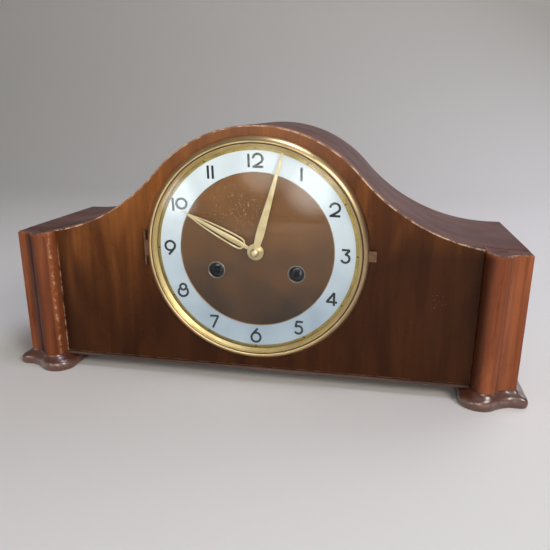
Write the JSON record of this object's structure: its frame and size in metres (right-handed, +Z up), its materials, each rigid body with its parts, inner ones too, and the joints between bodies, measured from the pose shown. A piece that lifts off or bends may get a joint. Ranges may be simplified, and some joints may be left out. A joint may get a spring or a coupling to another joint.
{
  "type": "mantel clock",
  "caption": "Hat-shaped wooden mantel clock with a hinged bezel, convex glass, white chapter ring, back door and a striking pendulum movement.",
  "frame": {"origin": "middle of the footprint on the floor, under the feet", "axes": "+X to the clock's right seen from the front, +Y from the dial to the back, +Z up"},
  "size_m": [0.437, 0.1581, 0.212],
  "materials": {
    "walnut_veneer": "gloss lacquer",
    "stained_beech": "gloss lacquer",
    "polished_brass": "polished",
    "hand_brass": "satin",
    "movement_brass": "satin",
    "enamel_white": "gloss",
    "bronze_lacquer": "satin",
    "dial_glass": "clear",
    "steel": "satin",
    "gong_iron": "matt"
  },
  "bodies": {
    "case": {"front_panel": "walnut_veneer", "roof_panel": "walnut_veneer", "base_board": "stained_beech", "end_panels": "walnut_veneer", "back_panel": "walnut_veneer", "right_column": "stained_beech", "left_column": "stained_beech", "right_front_foot": "stained_beech", "left_front_foot": "stained_beech", "rear_feet": "stained_beech", "door_hinge_bases": "polished_brass", "dial_plate": "polished_brass", "chapter_ring": "enamel_white", "centre_disc": "bronze_lacquer", "winding_grommets": "steel", "bezel_hinge_base": "polished_brass", "front_plate": "movement_brass", "back_plate": "movement_brass", "plate_pillars": "movement_brass", "movement_spacers": "movement_brass", "movement_screws": "steel", "pendulum_cock": "movement_brass", "suspension_spring": "steel", "gong": "gong_iron"},
    "bezel": {"bezel_ring": "polished_brass", "bezel_glass": "dial_glass", "glass_retainer": "polished_brass", "bezel_catch": "polished_brass", "bezel_hinge_leaf": "polished_brass"},
    "back_door": {"back_door": "walnut_veneer", "door_knob": "polished_brass", "door_hinge_leaves": "polished_brass"},
    "minute_hand": {"minute_hand": "hand_brass", "hand_nut": "hand_brass", "cannon_pinion": "steel"},
    "minute_wheel": {"minute_wheel": "movement_brass"},
    "hour_hand": {"hour_hand": "hand_brass", "hour_wheel": "movement_brass"},
    "escape_wheel": {"escape_wheel": "movement_brass"},
    "third_wheel": {"third_wheel": "movement_brass"},
    "centre_wheel": {"centre_wheel": "movement_brass"},
    "second_wheel": {"second_wheel": "movement_brass"},
    "going_barrel": {"going_barrel": "movement_brass", "going_mainspring": "steel"},
    "going_winding": {"going_winding_arbor": "steel", "going_ratchet": "steel"},
    "going_click": {"going_click": "steel"},
    "fly": {"fly": "movement_brass"},
    "warning_wheel": {"warning_wheel": "movement_brass"},
    "pin_wheel": {"pin_wheel": "movement_brass"},
    "strike_second": {"strike_second_wheel": "movement_brass", "count_wheel": "movement_brass"},
    "strike_barrel": {"strike_barrel": "movement_brass", "strike_mainspring": "steel"},
    "strike_winding": {"strike_winding_arbor": "steel", "strike_ratchet": "steel"},
    "strike_click": {"strike_click": "steel"},
    "pendulum": {"pendulum": "movement_brass"},
    "pallet_anchor": {"pallet_anchor": "steel"},
    "hammers": {"hammers": "movement_brass"}
  },
  "joints": [
    {"name": "minute_hand_turn", "type": "hinge", "parent": "case", "child": "minute_hand", "pos_m": [0, -0.06075, 0.1135], "axis": [0, 1, 0], "continuous": true},
    {"name": "minute_wheel_turn", "type": "hinge", "parent": "case", "child": "minute_wheel", "pos_m": [0, -0.06075, 0.1015], "axis": [0, 1, 0], "continuous": true},
    {"name": "hour_hand_turn", "type": "hinge", "parent": "case", "child": "hour_hand", "pos_m": [0, -0.06075, 0.1135], "axis": [0, 1, 0], "continuous": true},
    {"name": "escape_wheel_turn", "type": "hinge", "parent": "case", "child": "escape_wheel", "pos_m": [0, -0.06075, 0.14289], "axis": [0, 1, 0], "continuous": true},
    {"name": "third_wheel_turn", "type": "hinge", "parent": "case", "child": "third_wheel", "pos_m": [-0.003, -0.06075, 0.12881], "axis": [0, 1, 0], "continuous": true},
    {"name": "centre_wheel_turn", "type": "hinge", "parent": "case", "child": "centre_wheel", "pos_m": [0, -0.06075, 0.1135], "axis": [0, 1, 0], "continuous": true},
    {"name": "second_wheel_turn", "type": "hinge", "parent": "case", "child": "second_wheel", "pos_m": [0.01714, -0.06075, 0.11705], "axis": [0, 1, 0], "continuous": true},
    {"name": "going_barrel_turn", "type": "hinge", "parent": "case", "child": "going_barrel", "pos_m": [0.0332, -0.06075, 0.0963], "axis": [0, 1, 0], "continuous": true},
    {"name": "going_wind", "type": "hinge", "parent": "case", "child": "going_winding", "pos_m": [0.0332, -0.06075, 0.0963], "axis": [0, 1, 0], "range_deg": [0, 2520]},
    {"name": "going_click_lift", "type": "hinge", "parent": "case", "child": "going_click", "pos_m": [0.03999, -0.06075, 0.10807], "axis": [0, -1, 0], "range_deg": [0, 10], "stiffness_Nm_per_rad": 0.004},
    {"name": "fly_turn", "type": "hinge", "parent": "case", "child": "fly", "pos_m": [-0.01766, -0.06075, 0.1562], "axis": [0, 1, 0], "continuous": true},
    {"name": "warning_wheel_turn", "type": "hinge", "parent": "case", "child": "warning_wheel", "pos_m": [-0.02015, -0.06075, 0.14692], "axis": [0, 1, 0], "continuous": true},
    {"name": "pin_wheel_turn", "type": "hinge", "parent": "case", "child": "pin_wheel", "pos_m": [-0.0294, -0.06075, 0.13589], "axis": [0, 1, 0], "continuous": true},
    {"name": "strike_second_turn", "type": "hinge", "parent": "case", "child": "strike_second", "pos_m": [-0.02201, -0.06075, 0.12003], "axis": [0, 1, 0], "continuous": true},
    {"name": "strike_barrel_turn", "type": "hinge", "parent": "case", "child": "strike_barrel", "pos_m": [-0.0332, -0.06075, 0.0963], "axis": [0, 1, 0], "continuous": true},
    {"name": "strike_wind", "type": "hinge", "parent": "case", "child": "strike_winding", "pos_m": [-0.0332, -0.06075, 0.0963], "axis": [0, 1, 0], "range_deg": [0, 2520]},
    {"name": "strike_click_lift", "type": "hinge", "parent": "case", "child": "strike_click", "pos_m": [-0.03999, -0.06075, 0.10807], "axis": [0, 1, 0], "range_deg": [0, 10], "stiffness_Nm_per_rad": 0.004},
    {"name": "pendulum_swing", "type": "hinge", "parent": "case", "child": "pendulum", "pos_m": [0, -0.06075, 0.15529], "axis": [0, 1, 0], "range_deg": [-4, 4]},
    {"name": "anchor_rock", "type": "hinge", "parent": "case", "child": "pallet_anchor", "pos_m": [0, -0.06075, 0.15529], "axis": [0, 1, 0], "range_deg": [-4, 4]},
    {"name": "hammer_lift", "type": "hinge", "parent": "case", "child": "hammers", "pos_m": [-0.056, -0.06075, 0.1125], "axis": [0, 1, 0], "range_deg": [0, 14]},
    {"name": "bezel_swing", "type": "hinge", "parent": "case", "child": "bezel", "pos_m": [-0.0923, -0.06315, 0.1135], "axis": [0, 0, -1], "range_deg": [0, 110]},
    {"name": "back_door_swing", "type": "hinge", "parent": "case", "child": "back_door", "pos_m": [0.0746, 0.07165, 0.1135], "axis": [0, 0, -1], "range_deg": [0, 105]}
  ],
  "couplings": [
    {"joint": "minute_wheel_turn", "follows": "minute_hand_turn", "ratio": -0.33333},
    {"joint": "hour_hand_turn", "follows": "minute_hand_turn", "ratio": 0.083333},
    {"joint": "third_wheel_turn", "follows": "escape_wheel_turn", "ratio": -0.090909},
    {"joint": "centre_wheel_turn", "follows": "escape_wheel_turn", "ratio": 0.0075758},
    {"joint": "second_wheel_turn", "follows": "escape_wheel_turn", "ratio": -0.0012626},
    {"joint": "going_barrel_turn", "follows": "escape_wheel_turn", "ratio": 0.00017536},
    {"joint": "warning_wheel_turn", "follows": "fly_turn", "ratio": -0.14286},
    {"joint": "pin_wheel_turn", "follows": "fly_turn", "ratio": 0.017857},
    {"joint": "strike_second_turn", "follows": "fly_turn", "ratio": -0.0029762},
    {"joint": "strike_barrel_turn", "follows": "fly_turn", "ratio": 0.00041336},
    {"joint": "anchor_rock", "follows": "pendulum_swing", "ratio": 1}
  ]
}
